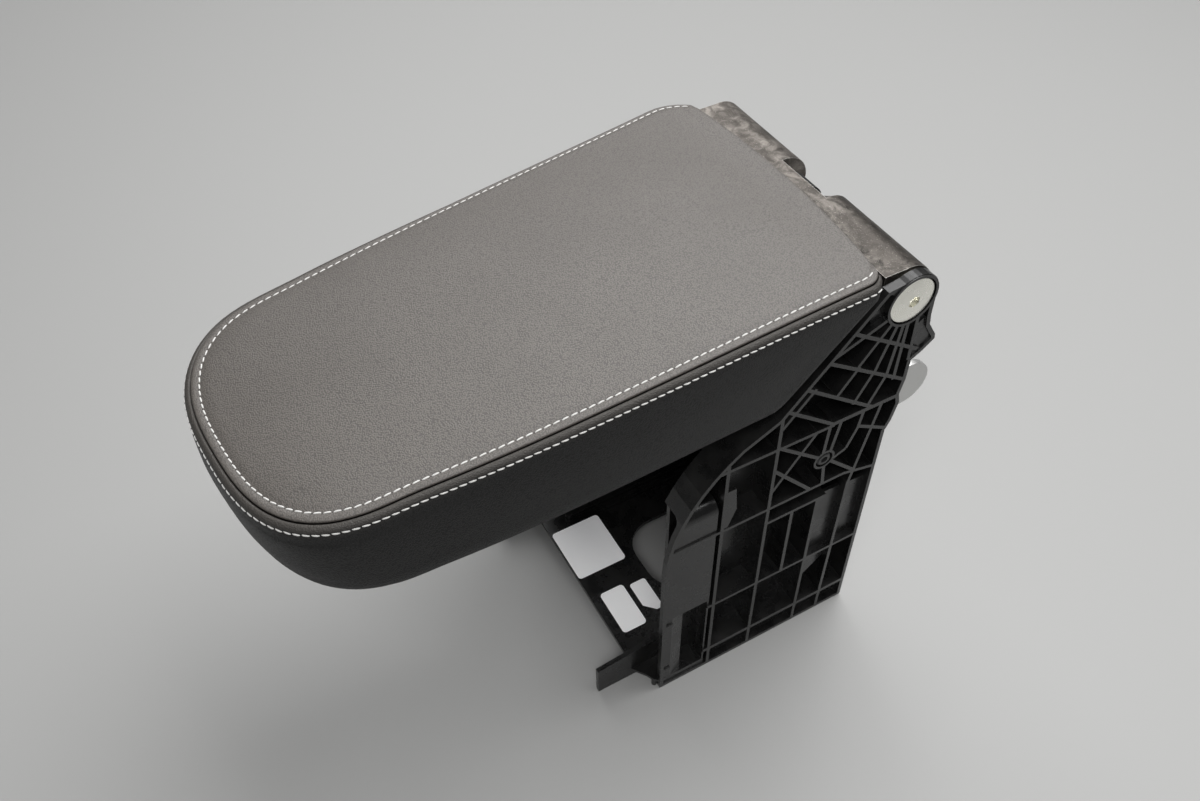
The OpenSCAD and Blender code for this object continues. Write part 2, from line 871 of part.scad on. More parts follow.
module hinge_casting() {
    color([0.56, 0.54, 0.51])
        at_hinge()
            difference() {
                union() {
                    both_sides() {
                        x_bar(barrel_r, notch_half, barrel_end);
                        casting_arm();
                    }
                    // chamfered inner end of the right lobe
                    translate([notch_half - 6.5, 0, 0])
                        rotate([0, 90, 0])
                            cylinder(r1 = hub_d / 2 + 0.2, r2 = barrel_r - 0.3, h = 6.8);
                    both_sides()
                        side_extrude(notch_half, barrel_end)
                            translate([roof_front, 0])
                                square([-roof_front - 1, roof_top]);
                    side_extrude(-notch_half - 1, notch_half + 1) {
                        translate([roof_front, roof_top - roof_t])
                            square([-roof_front - 1.3, roof_t]);
                        translate([roof_front, -8])
                            square([2.7, roof_top + 8]);
                    }
                    for (y = [arm_front + 1, arm_rear - 30])
                        under_frame()
                            translate([-arm_in - 1, y, arm_top - arm_h + 0.5])
                                cube([2 * arm_in + 2, 16, arm_h - 1]);
                }
                both_sides()
                    x_bar(bush_d / 2, notch_half - 7, barrel_end + 1);
                x_bar(hub_d / 2 + 0.4, -notch_half, notch_half - 6.6);
                for (p = casting_screw_at, side = [-1, 1])
                    under_frame()
                        translate([side * p[0], p[1], 0])
                            cylinder(r = casting_screw_r + 0.3, h = arm_top + 1);
            }
}

// Frame that lies along the sloping underside of the pad
module under_frame() {
    translate([0, 0, -pad_drop])
        rotate([under_slope, 0, 0])
            children();
}

// Arm that drops from the barrel and runs forward under the pad
module casting_arm() {
    top = z_under(arm_rear) + arm_top;
    side_extrude(arm_in + 0.4, arm_out - 0.4)
        polygon([[arm_rear - 3, top - arm_h + 1], [arm_rear - 3, top - 1.2], [arm_rear + 16, top + 0.2],
                 [roof_front + 1, 0.5], [roof_front + 1, 9], [-4, 9], [-4, -9], [-8, -10],
                 [-30, top - arm_h + 3]]);
    under_frame()
        translate([arm_in, arm_front, arm_top - arm_h])
            cube([arm_out - arm_in, arm_rear - arm_front, arm_h - fit]);
}

module axle_bushes() {
    color([0.82, 0.8, 0.72])
        at_hinge()
            both_sides()
                difference() {
                    x_bar(bush_d / 2 - 0.02, notch_half + 0.5, barrel_end);
                    x_bar(axle_r + fit, notch_half - 1, barrel_end + 1);
                }
}

module casting_screws() {
    color([0.5, 0.5, 0.5])
        at_hinge()
            under_frame()
                for (p = casting_screw_at, side = [-1, 1])
                    translate([side * p[0], p[1], arm_top - arm_h])
                        mirror([0, 0, 1])
                            pan_screw(casting_screw_r, arm_h + carrier_t - 0.4, 5.2, 3.4, 2.5);
}

// Tray that carries the foam and hides the casting's arms
module pad_carrier() {
    outer = [[0, 1.7, -2, 2.3], [0, 4.2, 0, 2.3], [0, carrier_top, 1.7, 1.6]];
    inner = [[0, 0.5, -4.6, 2.3], [0, 4.6, -2.6, 2.3], [0, arm_top, -0.9, 1.6]];
    color([0.12, 0.12, 0.125])
        at_hinge()
            difference() {
                union() {
                    difference() {
                        carrier_loft(outer, -0.3);
                        carrier_loft(inner, -3);
                        under_frame()
                            translate([-arm_out - 2, -100, arm_top - arm_h - 4])
                                cube([2 * arm_out + 4, 80, arm_h + 4]);
                    }
                    for (p = cover_screw_at, side = [-1, 1])
                        under_frame()
                            translate([side * p[0], p[1], 1.6])
                                cylinder(r = 5, h = arm_top - 1);
                }
                under_frame() {
                    for (p = cover_screw_at, side = [-1, 1])
                        translate([side * p[0], p[1], 0])
                            cylinder(r = cover_screw_r + fit, h = arm_top - 4);
                    for (p = casting_screw_at, side = [-1, 1])
                        translate([side * p[0], p[1], arm_top - 1])
                            cylinder(r = casting_screw_r + fit, h = carrier_t + 2);
                }
            }
}

module carrier_loft(levels, dy) {
    rings = [for (v = levels) level_ring(v, dy)];
    loft(rings, middle(rings[0]), middle(rings[len(rings) - 1]));
}

module underside_cover() {
    levels = [[0, -1.5, -12.5, 2], [0, -0.9, -11.2, 2], [0, 1.5, -11.2, 2]];
    color([0.1, 0.1, 0.105])
        at_hinge()
            difference() {
                carrier_loft(levels, -2.5);
                under_frame()
                    for (p = cover_screw_at, side = [-1, 1])
                        translate([side * p[0], p[1], -3]) {
                            cylinder(r = cover_screw_r + 0.2, h = 8);
                            cylinder(r = 4, h = 3.2);
                        }
            }
}

module cover_screws() {
    color([0.12, 0.12, 0.12])
        at_hinge()
            under_frame()
                for (p = cover_screw_at, side = [-1, 1])
                    translate([side * p[0], p[1], 0.2])
                        mirror([0, 0, 1])
                            pan_screw(cover_screw_r, cover_screw_len, 3.4, 1.6, 1.5);
}

// Foam between the carrier and the leather
module pad_foam() {
    levels = [[0, carrier_top + 0.2, 1.7, 1.5], [0.7, 0, 1.5, 0.7], [1, -9.2, 1.1, 0.2],
              [1, -seam_drop, 0.3, 0], [1, -2, -1.2, 0]];
    color([0.75, 0.7, 0.55])
        at_hinge() {
            rings = concat([for (v = levels) level_ring(v, -2.4)],
                           [for (k = crown_steps) crown_ring(k, leather_t + 0.5, -1.8, -2.4, 0)]);
            loft(rings, middle(rings[0]), crown_top(leather_t + 0.5));
        }
}

// Top leather panel, down to the seam
module cover_top() {
    outer = [[1, -seam_drop + gap, 2, 0], [1, -1.3, 1.4, 0], [1, 0, 0, 0]];
    inner = [[1, -leather_t - 0.1, -0.8, 0], [1, -2.2, 0.2, 0], [1, -seam_drop + gap, 0.7, 0]];
    color([0.36, 0.35, 0.34])
        at_hinge() {
            rings = concat(
                [for (i = [len(crown_steps) - 1:-1:0])
                    crown_ring(crown_steps[i], leather_t, -0.8, -leather_t, rear_bow)],
                [for (v = inner) level_ring(v, -leather_t, rear_bow)],
                [for (v = outer) level_ring(v, 0, rear_bow)],
                [for (k = crown_steps) crown_ring(k, 0, 0, 0, rear_bow)]);
            loft(rings, crown_top(leather_t), crown_top(0));
        }
}

// Side leather band round the sides and nose, turned in under the pad
module cover_side() {
    outer = [[1, -seam_drop, 2, 0], [1, -9, 3, 0.2], [0.55, 0, 3.8, 1.5], [0, 9, 3.4, 2.5],
             [0, 2.5, 1.6, 2.5], [0, 0, -2, 2.5], [0, 0, -9.5, 2]];
    inner = [[0, leather_t, -9.5, 2], [0, leather_t, -2.2, 2.3], [0, 3.6, 0.3, 2.4],
             [0, 9.4, 1.9, 2.4], [0.55, 0, 2.4, 1.4], [1, -9.2, 1.6, 0.2], [1, -seam_drop, 0.7, 0]];
    paths = [for (v = concat(outer, inner))
        [for (p = open_path(v[2], v[3], rear_end(v[0], v[1]))) [p[0], p[1], z_level(p[1], v[0], v[1])]]];
    stations = [for (i = [0:len(paths[0]) - 1]) [for (path = paths) path[i]]];
    color([0.15, 0.15, 0.15])
        at_hinge()
            sheet_loft(stations);
}

// Leather strip that closes the rear of the pad above the carrier
module cover_rear() {
    low = z_under(-40) + carrier_top + 0.4;
    low_y = slant_at[0] + (low - slant_at[1]) * slant_run;
    bend = slant_at[1] + (rear_edge - slant_at[0]) / slant_run;
    high = z_upper(rear_edge) - seam_drop;
    color([0.15, 0.15, 0.15])
        at_hinge()
            side_extrude(-pad_half - 0.3, pad_half + 0.3)
                polygon([[low_y - 0.3, low], [rear_edge - 0.3, bend], [rear_edge - 0.3, high],
                         [rear_edge - leather_t - 0.3, high], [rear_edge - leather_t - 0.3, bend],
                         [low_y - leather_t - 0.5, low]]);
}

bracket_frame();
hinge_axle();
hinge_bolts();
thrust_washers();
friction_hub();
stop_buffers();
rear_stay();
stay_screws();
side_screws();
label_large();
label_medium();
label_small();
hinge_casting();
axle_bushes();
casting_screws();
pad_carrier();
underside_cover();
cover_screws();
pad_foam();
cover_top();
cover_side();
cover_rear();
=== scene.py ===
# %% [markdown]
# # A padded car armrest on a ribbed bracket
# The finished CAD model gives every rigid piece in its real place.
# This lesson dresses it: the leather pad with its two rows of stitching is modelled here,
# and the rigid pieces get plastic, cast metal, steel and label finishes.
# We load the model first, because every new piece is placed from it.

# %% Load the frame
import math

import bmesh
import bpy
from mathutils import Matrix, Vector
from mathutils.kdtree import KDTree


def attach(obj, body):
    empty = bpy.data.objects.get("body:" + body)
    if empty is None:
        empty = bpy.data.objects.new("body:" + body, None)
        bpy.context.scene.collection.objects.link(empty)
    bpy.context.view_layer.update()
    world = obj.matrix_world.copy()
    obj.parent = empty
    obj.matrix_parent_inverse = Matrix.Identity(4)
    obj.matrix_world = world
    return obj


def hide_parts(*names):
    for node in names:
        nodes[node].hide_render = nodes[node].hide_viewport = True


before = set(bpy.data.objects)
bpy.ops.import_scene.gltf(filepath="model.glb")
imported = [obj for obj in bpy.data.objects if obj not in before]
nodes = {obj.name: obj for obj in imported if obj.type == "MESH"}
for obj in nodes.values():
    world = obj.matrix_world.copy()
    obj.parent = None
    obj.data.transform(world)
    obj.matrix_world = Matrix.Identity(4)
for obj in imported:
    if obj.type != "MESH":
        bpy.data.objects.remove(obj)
scene = bpy.context.scene
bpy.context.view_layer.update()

# %% [markdown]
# ## Camera
# The picture was taken from above the front right corner with a moderate wide lens.
# The camera is set from its place and two axes, which is exact and easy to read.

# %% Set up the camera
CAMERA_PLACE = Vector((0.29631, -0.21637, 0.51749))
CAMERA_FORWARD = Vector((-0.59557, 0.31397, -0.73941))
CAMERA_UP = Vector((-0.64186, 0.36748, 0.67304))

camera_data = bpy.data.cameras.new("camera")
camera_data.lens = 31.83
camera_data.sensor_width = 36.0
camera = bpy.data.objects.new("camera", camera_data)
scene.collection.objects.link(camera)
scene.camera = camera
forward = CAMERA_FORWARD.normalized()
right = forward.cross(CAMERA_UP).normalized()
up = right.cross(forward)
turned = Matrix((right, up, -forward)).transposed().to_4x4()
camera.matrix_world = Matrix.Translation(CAMERA_PLACE) @ turned
print("camera at", tuple(round(v, 3) for v in CAMERA_PLACE))

# %% [markdown]
# ## Node helpers
# Materials are built from nodes, so two small helpers add a node and set its inputs.
# A value is set on the socket by its name, which reads like the panel in the editor.

# %% Node helpers
def add_node(tree, kind, label="", **values):
    node = tree.nodes.new(kind)
    node.label = label
    for key, value in values.items():
        if hasattr(node, key):
            setattr(node, key, value)
        else:
            node.inputs[key.replace("_", " ")].default_value = value
    return node


def ramp(tree, source, stops, label=""):
    node = tree.nodes.new("ShaderNodeValToRGB")
    node.label = label
    ends = node.color_ramp.elements
    for place, colour in stops[2:]:
        ends.new(place)
    for element, (place, colour) in zip(sorted(ends, key=lambda e: e.position), stops):
        element.position = place
        element.color = (*(colour if isinstance(colour, tuple) else (colour,) * 3), 1.0)
    tree.links.new(source, node.inputs["Fac"])
    return node


def new_group(name, inputs, outputs):
    tree = bpy.data.node_groups.new(name, "ShaderNodeTree")
    for socket, kind, value in inputs:
        made = tree.interface.new_socket(socket, in_out="INPUT", socket_type=kind)
        if value is not None:
            made.default_value = value
    for socket, kind in outputs:
        tree.interface.new_socket(socket, in_out="OUTPUT", socket_type=kind)
    return tree, tree.nodes.new("NodeGroupInput"), tree.nodes.new("NodeGroupOutput")


def new_material(name):
    material = bpy.data.materials.new(name)
    material.use_nodes = True
    tree = material.node_tree
    shader = tree.nodes["Principled BSDF"]
    place = tree.nodes.new("ShaderNodeTexCoord")
    return material, tree, shader, place.outputs["Object"]


def use_group(tree, group, vector=None, **values):
    node = tree.nodes.new("ShaderNodeGroup")
    node.node_tree = group
    if vector is not None:
        tree.links.new(vector, node.inputs["Vector"])
    for key, value in values.items():
        node.inputs[key.replace("_", " ")].default_value = value
    return node

# %% [markdown]
# ## Leather grain
# Upholstery leather has small rounded pebbles with creases between them, and a soft wander
# in tone over a few centimetres. Voronoi cells give the pebbles, and noise bends their
# pattern so that no two look alike. Several leathers use it, so it is a group.

# %% Leather grain group
FLOAT, COLOUR, VECTOR = "NodeSocketFloat", "NodeSocketColor", "NodeSocketVector"

leather_grain, g_in, g_out = new_group(
    "Leather grain",
    [("Vector", VECTOR, None), ("Pebble", FLOAT, 1750.0), ("Bend", FLOAT, 0.0005)],
    [("Height", FLOAT), ("Tone", FLOAT), ("Crease", FLOAT)])
t = leather_grain
bend = add_node(t, "ShaderNodeTexNoise", "bend the pebbles", Scale=420.0, Detail=2.0)
shift = add_node(t, "ShaderNodeVectorMath", operation="SUBTRACT")
shift.inputs[1].default_value = (0.5, 0.5, 0.5)
scale = add_node(t, "ShaderNodeVectorMath", operation="SCALE")
moved = add_node(t, "ShaderNodeVectorMath", operation="ADD")
cells = add_node(t, "ShaderNodeTexVoronoi", "pebbles", feature="SMOOTH_F1", Smoothness=0.35)
fine = add_node(t, "ShaderNodeTexNoise", "fine pores", Scale=2600.0, Detail=3.0)
wander = add_node(t, "ShaderNodeTexNoise", "slow tone", Scale=28.0, Detail=3.0)
t.links.new(g_in.outputs["Vector"], bend.inputs["Vector"])
t.links.new(bend.outputs["Color"], shift.inputs[0])
t.links.new(shift.outputs[0], scale.inputs[0])
t.links.new(g_in.outputs["Bend"], scale.inputs["Scale"])
t.links.new(g_in.outputs["Vector"], moved.inputs[0])
t.links.new(scale.outputs[0], moved.inputs[1])
t.links.new(moved.outputs[0], cells.inputs["Vector"])
t.links.new(g_in.outputs["Pebble"], cells.inputs["Scale"])
t.links.new(g_in.outputs["Vector"], fine.inputs["Vector"])
t.links.new(g_in.outputs["Vector"], wander.inputs["Vector"])
crease = ramp(t, cells.outputs["Distance"], [(0.30, 0.0), (0.72, 1.0)], "creases")
pores = add_node(t, "ShaderNodeMath", operation="MULTIPLY")
pores.inputs[1].default_value = 0.25
height = add_node(t, "ShaderNodeMath", operation="SUBTRACT")
t.links.new(fine.outputs["Fac"], pores.inputs[0])
t.links.new(pores.outputs[0], height.inputs[0])
t.links.new(crease.outputs["Color"], height.inputs[1])
t.links.new(height.outputs[0], g_out.inputs["Height"])
t.links.new(wander.outputs["Fac"], g_out.inputs["Tone"])
t.links.new(crease.outputs["Color"], g_out.inputs["Crease"])
print("group", leather_grain.name, "with", len(t.nodes), "nodes")

# %% [markdown]
# ## Painted edge highlight and dust
# Black mouldings get lighter edges: a painted highlight where a rounded edge would catch the
# light. Dust settles in faint cloudy patches. The Bevel node gives a normal rounded over each
# edge: where it turns away from the face's own normal, there is an edge.

# %% Painted edge highlight and dust group
edge_highlight_and_patches, e_in, e_out = new_group(
    "Edge highlight and patches",
    [("Vector", VECTOR, None), ("Patch Scale", FLOAT, 90.0)],
    [("Edge", FLOAT), ("Patches", FLOAT), ("Fine", FLOAT)])
t = edge_highlight_and_patches
rounded = add_node(t, "ShaderNodeBevel", "rounded edge", samples=4, Radius=0.00035)
face = add_node(t, "ShaderNodeNewGeometry")
turn = add_node(t, "ShaderNodeVectorMath", operation="DOT_PRODUCT")
patches = add_node(t, "ShaderNodeTexNoise", "patches", Detail=5.0, Roughness=0.6)
speckle = add_node(t, "ShaderNodeTexNoise", "moulding texture", Scale=2400.0, Detail=2.0)
t.links.new(rounded.outputs["Normal"], turn.inputs[0])
t.links.new(face.outputs["Normal"], turn.inputs[1])
t.links.new(e_in.outputs["Vector"], patches.inputs["Vector"])
t.links.new(e_in.outputs["Patch Scale"], patches.inputs["Scale"])
t.links.new(e_in.outputs["Vector"], speckle.inputs["Vector"])
# painted highlight: this mask lightens every edge in the finishes that use the group
edge = ramp(t, turn.outputs["Value"], [(0.80, 1.0), (0.985, 0.0)], "edge mask")
t.links.new(edge.outputs["Color"], e_out.inputs["Edge"])
t.links.new(patches.outputs["Fac"], e_out.inputs["Patches"])
t.links.new(speckle.outputs["Fac"], e_out.inputs["Fine"])
print("group", edge_highlight_and_patches.name, "with", len(t.nodes), "nodes")

# %% [markdown]
# ## Finishes of the rigid pieces
# Four helpers cover them: moulded plastic, bare metal, the raw casting and the labels.
# Each mixes two tones with the masks above and keeps its own roughness and bump.

# %% Moulded plastic
def mix_colours(tree, mask, first, second, label=""):
    node = add_node(tree, "ShaderNodeMix", label, data_type="RGBA")
    for socket, value in ((node.inputs[6], first), (node.inputs[7], second)):
        if isinstance(value, tuple):
            socket.default_value = (*value, 1.0)
        else:
            tree.links.new(value, socket)
    tree.links.new(mask, node.inputs[0])
    return node.outputs[2]


def moulded_plastic(name, dark, light, edge_highlight, roughness, bump=0.06):
    material, tree, shader, vector = new_material(name)
    highlight_and_patches = use_group(tree, edge_highlight_and_patches, vector)
    tone = ramp(tree, highlight_and_patches.outputs["Patches"], [(0.35, 0.0), (0.68, 1.0)])
    base = mix_colours(tree, tone.outputs["Color"], dark, light, "patchy tone")
    # painted highlight: edges take the lighter colour, as if a rounded edge caught the light
    edges = mix_colours(tree, highlight_and_patches.outputs["Edge"], base, edge_highlight, "painted edge highlight")
    tree.links.new(edges, shader.inputs["Base Color"])
    gloss = ramp(tree, highlight_and_patches.outputs["Patches"], [(0.3, roughness - 0.07), (0.7, roughness + 0.1)])
    tree.links.new(gloss.outputs["Color"], shader.inputs["Roughness"])
    shader.inputs["Specular IOR Level"].default_value = 0.5
    relief = add_node(tree, "ShaderNodeBump", "fine texture", Strength=bump, Distance=0.0002)
    tree.links.new(highlight_and_patches.outputs["Fine"], relief.inputs["Height"])
    tree.links.new(relief.outputs["Normal"], shader.inputs["Normal"])
    return material


bracket_black = moulded_plastic("bracket black", (0.0055, 0.0055, 0.0056), (0.012, 0.0117, 0.0114),
                                (0.032, 0.0315, 0.031), 0.27)
tray_black = moulded_plastic("tray black", (0.012, 0.012, 0.0125), (0.020, 0.020, 0.020),
                             (0.05, 0.05, 0.05), 0.5, 0.25)
hub_black = moulded_plastic("hub black", (0.006, 0.006, 0.006), (0.012, 0.012, 0.012),
                            (0.03, 0.03, 0.03), 0.4)
bush_cream = moulded_plastic("bush cream", (0.55, 0.52, 0.44), (0.66, 0.63, 0.54),
                             (0.72, 0.70, 0.62), 0.45)
stop_rubber = moulded_plastic("stop rubber", (0.010, 0.010, 0.010), (0.018, 0.018, 0.017),
                              (0.03, 0.03, 0.03), 0.75, 0.3)
screw_black = moulded_plastic("screw black", (0.01, 0.01, 0.01), (0.02, 0.02, 0.02),
                              (0.05, 0.05, 0.05), 0.4)

# %% Turned and plated metal
def plated_metal(name, colour, shade, roughness, rings_at=None):
    material, tree, shader, vector = new_material(name)
    shader.inputs["Metallic"].default_value = 1.0
    blur = add_node(tree, "ShaderNodeTexNoise", "plating", Scale=260.0, Detail=4.0)
    tree.links.new(vector, blur.inputs["Vector"])
    mask = blur.outputs["Fac"]
    if rings_at:
        centre = add_node(tree, "ShaderNodeMapping", "rings round the axis")
        centre.inputs["Location"].default_value = [-v for v in rings_at]
        tree.links.new(vector, centre.inputs["Vector"])
        rings = add_node(tree, "ShaderNodeTexWave", "turning marks", wave_type="RINGS",
                         rings_direction="X", Scale=420.0, Distortion=0.6, Detail=2.0)
        tree.links.new(centre.outputs["Vector"], rings.inputs["Vector"])
        mask = rings.outputs["Fac"]
        relief = add_node(tree, "ShaderNodeBump", "turning marks", Strength=0.05, Distance=0.0001)
        tree.links.new(mask, relief.inputs["Height"])
        tree.links.new(relief.outputs["Normal"], shader.inputs["Normal"])
    tone = mix_colours(tree, mask, shade, colour)
    tree.links.new(tone, shader.inputs["Base Color"])
    rough = ramp(tree, blur.outputs["Fac"], [(0.3, roughness - 0.06), (0.7, roughness + 0.08)])
    tree.links.new(rough.outputs["Color"], shader.inputs["Roughness"])
    return material


HINGE = Vector((0.0, 0.045, 0.224))
bolt_zinc = plated_metal("bolt zinc", (0.96, 0.95, 0.88), (0.86, 0.85, 0.78), 0.30, HINGE)
stay_zinc = plated_metal("stay zinc", (0.66, 0.66, 0.65), (0.55, 0.55, 0.54), 0.42)
axle_steel = plated_metal("axle steel", (0.55, 0.55, 0.55), (0.45, 0.45, 0.45), 0.30)

# %% [markdown]
# The die casting is raw: cloudy grey flow marks, darker stains and bright specks, with a painted
# highlight on its edges. Its left end is painted lighter, a painted reflection of the light from
# the left, and the tone falls to painted shade at its right end.

# %% Raw casting
def raw_casting():
    material, tree, shader, vector = new_material("raw casting")
    shader.inputs["Metallic"].default_value = 0.85
    highlight_and_patches = use_group(tree, edge_highlight_and_patches, vector, Patch_Scale=55.0)
    cloud = add_node(tree, "ShaderNodeTexNoise", "flow marks", Scale=150.0, Detail=6.0,
                     Roughness=0.65, Distortion=1.4)
    tree.links.new(vector, cloud.inputs["Vector"])
    stain = ramp(tree, highlight_and_patches.outputs["Patches"], [(0.36, 0.0), (0.56, 1.0)])
    flow = ramp(tree, cloud.outputs["Fac"], [(0.42, 0.0), (0.60, 1.0)])
    across = add_node(tree, "ShaderNodeSeparateXYZ", "place across")
    tree.links.new(vector, across.inputs[0])
    # painted light and shade: lighter at the left end, a painted reflection, darker to the right
    end = add_node(tree, "ShaderNodeMapRange", "painted shade towards the right end", From_Min=-0.085, From_Max=0.055)
    tree.links.new(across.outputs["X"], end.inputs["Value"])
    lit_tone = mix_colours(tree, flow.outputs["Color"], (0.175, 0.158, 0.143), (0.335, 0.306, 0.279))
    shaded_tone = mix_colours(tree, flow.outputs["Color"], (0.032, 0.029, 0.026), (0.145, 0.132, 0.119))
    base = mix_colours(tree, end.outputs["Result"], lit_tone, shaded_tone, "painted light to painted shade")
    stained = mix_colours(tree, stain.outputs["Color"], (0.075, 0.067, 0.060), base)
    speck = ramp(tree, highlight_and_patches.outputs["Fine"], [(0.66, 0.0), (0.72, 1.0)], "bright specks")
    specked = mix_colours(tree, speck.outputs["Color"], stained, (0.48, 0.45, 0.41))
    # painted highlight: edges are lightened, as if a rounded edge caught the light
    edge_lit = mix_colours(tree, highlight_and_patches.outputs["Edge"], specked, (0.62, 0.60, 0.57))
    tree.links.new(edge_lit, shader.inputs["Base Color"])
    rough = ramp(tree, cloud.outputs["Fac"], [(0.3, 0.36), (0.7, 0.52)])
    tree.links.new(rough.outputs["Color"], shader.inputs["Roughness"])
    relief = add_node(tree, "ShaderNodeBump", "cast skin", Strength=0.35, Distance=0.0004)
    tree.links.new(cloud.outputs["Fac"], relief.inputs["Height"])
    tree.links.new(relief.outputs["Normal"], shader.inputs["Normal"])
    return material


def label_stock():
    material, tree, shader, vector = new_material("label stock")
    fibre = add_node(tree, "ShaderNodeTexNoise", "paper", Scale=900.0, Detail=3.0)
    tree.links.new(vector, fibre.inputs["Vector"])
    tone = mix_colours(tree, fibre.outputs["Fac"], (0.88, 0.88, 0.87), (0.94, 0.94, 0.93))
    tree.links.new(tone, shader.inputs["Base Color"])
    shader.inputs["Roughness"].default_value = 0.5
    # painted light: the labels glow faintly, standing in for light reaching into the bracket
    shader.inputs["Emission Color"].default_value = (0.95, 0.95, 1.0, 1.0)
    shader.inputs["Emission Strength"].default_value = 0.12
    relief = add_node(tree, "ShaderNodeBump", Strength=0.05, Distance=0.0001)
    tree.links.new(fibre.outputs["Fac"], relief.inputs["Height"])
    tree.links.new(relief.outputs["Normal"], shader.inputs["Normal"])
    return material


casting_grey = raw_casting()
label_white = label_stock()

# %% [markdown]
# Each CAD node now takes its finish. The nodes keep their meshes: only their material changes.

# %% Assign the finishes
FINISHES = {
    "bracket_frame": bracket_black, "hinge_axle": axle_steel, "hinge_bolts": bolt_zinc,
    "thrust_washers": bush_cream, "friction_hub": hub_black, "stop_buffers": stop_rubber,
    "rear_stay": stay_zinc, "stay_screws": stay_zinc, "side_screws": screw_black,
    "label_large": label_white, "label_medium": label_white, "label_small": label_white,
    "hinge_casting": casting_grey, "axle_bushes": bush_cream, "casting_screws": axle_steel,
    "pad_carrier": tray_black, "underside_cover": tray_black, "cover_screws": screw_black,
}
for name, material in FINISHES.items():
    nodes[name].data.materials.clear()
    nodes[name].data.materials.append(material)
print("finished", len(FINISHES), "CAD nodes")

# %% [markdown]
# ## The pad's outline
# Seen from above the pad is a long tongue: its sides bow gently, its nose is a flattened
# half ellipse and its rear edge is slightly curved. The left rear corner is rounder than the
# right one, and the nose leans a little to the left, as hand-pulled leather does.
# The outline is worked out in millimetres from the hinge axis. Each level of the pad is this
# outline moved out by `out`, and widened towards the nose by `flare`.

# %% Outline of the pad
MM = 0.001
HINGE_Y, HINGE_Z = 45.0, 224.0
REAR, FRONT, NOSE = -19.0, -218.0, 49.7
REAR_HALF, TAPER, BELLY, RUN = 71.8, 13.2, 18.2, 218.0
UPPER_AT, UPPER_RISE = 23.3, math.tan(math.radians(6.2))
UNDER_AT, UNDER_RISE = -36.5, math.tan(math.radians(1.7))
SIDE_STEPS, NOSE_STEPS, REAR_STEPS = 56, 24, 36
NEAR_REAR = (0.0, 0.8, 1.8, 3.2, 5.0)
NOSE_POWER = {1: 3.0, -1: 2.36}
CORNER = {1: (6.0, 4.0), -1: (17.0, 9.0)}
SKEW = 0.09


def upper(y):
    """Height of the seam's plane."""
    return UPPER_AT + UPPER_RISE * y


def under(y):
    """Height of the pad's underside."""
    return UNDER_AT + UNDER_RISE * y


def half_width(y, out, flare):
    u = (REAR - y) / RUN
    return REAR_HALF + out - (TAPER - flare) * u + BELLY * u * u * (1.0 - u)


def share(value, first, last):
    """How far value has come from first to last, kept between 0 and 1."""
    return min(1.0, max(0.0, (value - first) / (last - first)))


def nose_reach(out, flare):
    return NOSE + out + 0.3 * flare


def half_outline(hand, out, flare, rear):
    """One side, from its rear end to just before the nose tip: hand is 1 (right) or -1 (left)."""
    start = rear - 7.0
    ys = [rear - d for d in NEAR_REAR]
    ys += [start + (FRONT - start) * i / SIDE_STEPS for i in range(SIDE_STEPS + 1)]
    length, depth = CORNER[hand]
    slack = 0.0 if hand == 1 else 0.3 * out
    side = []
    for y in ys:
        tuck = depth * max(0.0, 1 - (rear - y) / length) ** 2
        x = half_width(y, out, flare) - tuck - slack * share(y, -200.0, -140.0)
        side.append(Vector((hand * x, y)))
    power = 2 / NOSE_POWER[hand]
    wide, reach = half_width(FRONT, out, flare), nose_reach(out, flare)
    for i in range(1, NOSE_STEPS):
        a = math.pi / 2 * i / NOSE_STEPS
        x = wide * math.cos(a) ** power
        side.append(Vector((hand * x, FRONT - reach * math.sin(a) ** power)))
    return side


def eased(points, skew):
    """Even out the bends near the nose, then let its left corner reach further than its right."""
    for _ in range(3):
        points = [p if p.y > -150.0 else p * 0.5 + (points[i - 1] + points[i + 1]) * 0.25
                  for i, p in enumerate(points)]
    return [Vector((p.x, p.y + skew * p.x * share(p.y, -170.0, -240.0) ** 2)) for p in points]


def band_outline(out, flare, rear, skew=SKEW):
    """The pad's outline, open behind: right rear end, nose, left rear end."""
    right, left = half_outline(1, out, flare, rear), half_outline(-1, out, flare, rear)
    tip = Vector((0.0, FRONT - nose_reach(out, flare)))
    return eased(right + [tip] + left[::-1], skew)


def outline(out, flare=0.0, bow=4.0):
    """The closed outline: the same line with the bowed rear edge."""
    line = band_outline(out, flare, REAR)
    back = []
    for i in range(1, REAR_STEPS):
        way = i / REAR_STEPS
        x = line[-1].x + (line[0].x - line[-1].x) * way
        back.append(Vector((x, REAR + bow * (1 - (2 * way - 1) ** 2))))
    return line + back


def place(x, y, z):
    """Hinge-axis millimetres to the model's metres."""
    return Vector((x, y + HINGE_Y, z + HINGE_Z)) * MM


print("outline has", len(outline(0.0)), "points")

# %% [markdown]
# ## The padded top panel
# A ring of vertices follows the outline at the seam. It is extruded ring by ring: up the
# roll of leather beside the seam, down into the row of stitches, and over the crown to the
# middle. The rings near the stitches are close together, because that is where the
# leather bends sharply.

# %% Build the top panel
CROWN = 4.4
MIDDLE, REACH = (REAR + FRONT - NOSE) / 2, (REAR - FRONT + NOSE) / 2


def crown(x, y):
    """Rise of the cushion over its upper plane, without a ridge towards the corners."""
    across = abs(x) / (0.94 * half_width(max(y, FRONT), 0.0, 0.0))
    along = abs(y - MIDDLE) / (0.96 * REACH)
    return CROWN * max(0.0, 1 - across ** 2.6) * max(0.0, 1 - along ** 3.0)


def grown_from(v, fresh):
    """The new vertex that extruding made from v."""
    return next(e.other_vert(v) for e in v.link_edges if e.other_vert(v) in fresh)


